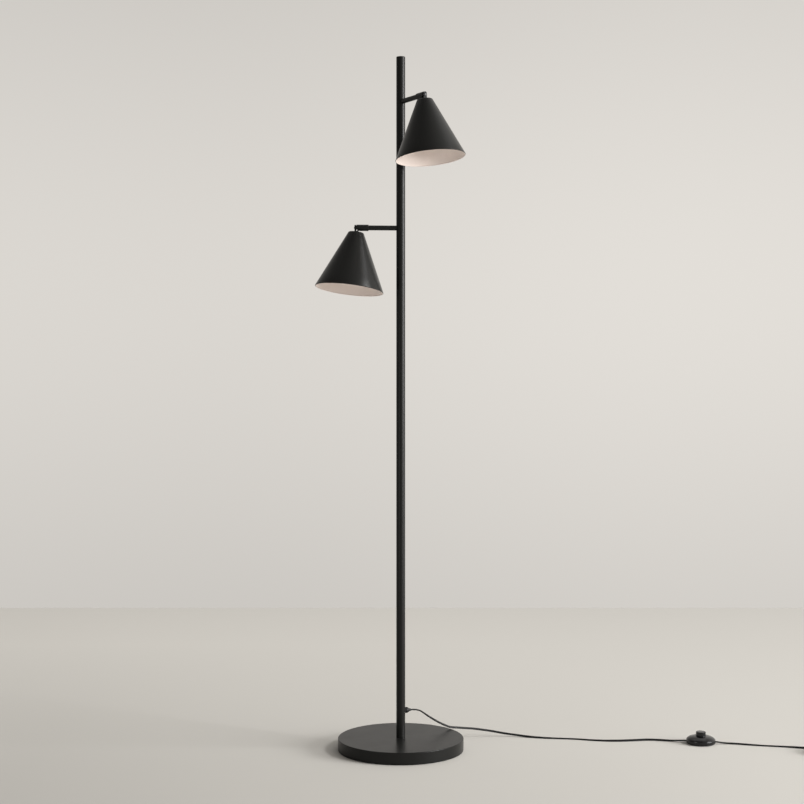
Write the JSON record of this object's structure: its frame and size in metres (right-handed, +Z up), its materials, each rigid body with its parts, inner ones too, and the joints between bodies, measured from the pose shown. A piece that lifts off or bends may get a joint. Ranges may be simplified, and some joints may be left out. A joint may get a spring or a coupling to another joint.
{
  "type": "adjustable floor lamp",
  "caption": "Free-standing reading lamp: round weighted base, slim pole, short arms with swivelling cone shades, flat lead with foot switch and plug.",
  "frame": {"origin": "centre of the round base's underside, on the floor under the pole's axis", "axes": "+Z up along the pole; -X towards the side that the lower arm points to, which turns 3.5 degrees from it; +X towards the side on which the lead lies"},
  "size_m": [1.1907, 0.3117, 1.5452],
  "materials": {
    "black_powder_coat": "satin",
    "zinc_plated_steel": "satin",
    "phosphated_steel": "matte",
    "blackened_steel": "satin",
    "grey_cast_iron": "matte",
    "foam_pad": "matte",
    "glossy_black_plastic": "gloss",
    "matt_black_plastic": "matte",
    "black_pvc_lead": "satin",
    "pale_thermoplastic": "satin",
    "nickel_plated_brass": "satin",
    "opal_glass": "satin"
  },
  "bodies": {
    "stand": {"floor_pad": "foam_pad", "base_weight": "grey_cast_iron", "base_cover": "black_powder_coat", "base_washer": "zinc_plated_steel", "base_bolt": "zinc_plated_steel", "pole_foot": "zinc_plated_steel", "lower_pole": "black_powder_coat", "pole_coupler": "zinc_plated_steel", "upper_pole": "black_powder_coat", "pole_cap": "black_powder_coat", "lower_arm_anchor": "zinc_plated_steel", "lower_arm": "black_powder_coat", "lower_sleeve": "black_powder_coat", "lower_arm_lead": "black_pvc_lead", "upper_arm_anchor": "zinc_plated_steel", "upper_arm": "black_powder_coat", "upper_sleeve": "black_powder_coat", "upper_arm_lead": "black_pvc_lead", "swivel_washers": "phosphated_steel", "swivel_screws": "blackened_steel", "cord_gland": "matt_black_plastic", "entry_lead": "black_pvc_lead", "lead_connector": "pale_thermoplastic", "switch_base": "glossy_black_plastic", "switch_cover": "glossy_black_plastic", "switch_block": "pale_thermoplastic", "switch_spring": "zinc_plated_steel", "cord_clamps": "zinc_plated_steel", "clamp_screws": "zinc_plated_steel", "cover_screws": "zinc_plated_steel", "lamp_cord": "black_pvc_lead", "plug_cord": "black_pvc_lead", "cord_coil": "black_pvc_lead", "coil_tie": "matt_black_plastic", "plug_tail": "black_pvc_lead", "plug_relief": "matt_black_plastic", "plug_body": "matt_black_plastic", "pin_sleeves": "matt_black_plastic", "plug_pins": "nickel_plated_brass"},
    "lower_head": {"lower_swivel": "black_powder_coat", "lower_shade": "black_powder_coat", "lower_locknut": "zinc_plated_steel", "lower_holder_cap": "matt_black_plastic", "lower_holder_body": "matt_black_plastic", "lower_contacts": "nickel_plated_brass", "lower_bulb_cap": "nickel_plated_brass", "lower_bulb_globe": "opal_glass", "lower_shade_lead": "black_pvc_lead"},
    "upper_head": {"upper_swivel": "black_powder_coat", "upper_shade": "black_powder_coat", "upper_locknut": "zinc_plated_steel", "upper_holder_cap": "matt_black_plastic", "upper_holder_body": "matt_black_plastic", "upper_contacts": "nickel_plated_brass", "upper_bulb_cap": "nickel_plated_brass", "upper_bulb_globe": "opal_glass", "upper_shade_lead": "black_pvc_lead"},
    "button": {"switch_button": "glossy_black_plastic"}
  },
  "joints": [
    {"name": "lower_swivel", "type": "hinge", "parent": "stand", "child": "lower_head", "pos_m": [-0.09862, -0.00603, 1.163], "axis": [-0.9981, -0.061, 0], "range_deg": [-95.5, 84.5]},
    {"name": "upper_swivel", "type": "hinge", "parent": "stand", "child": "upper_head", "pos_m": [0.05133, -0.08442, 1.4445], "axis": [0.5195, -0.8545, 0], "range_deg": [-92.3, 87.7]},
    {"name": "switch_press", "type": "slide", "parent": "stand", "child": "button", "axis": [0, 0, -1], "range_m": [0, 0.0035], "stiffness_N_per_m": 800, "springref_m": -0.004, "deforming": ["switch_spring"]}
  ]
}
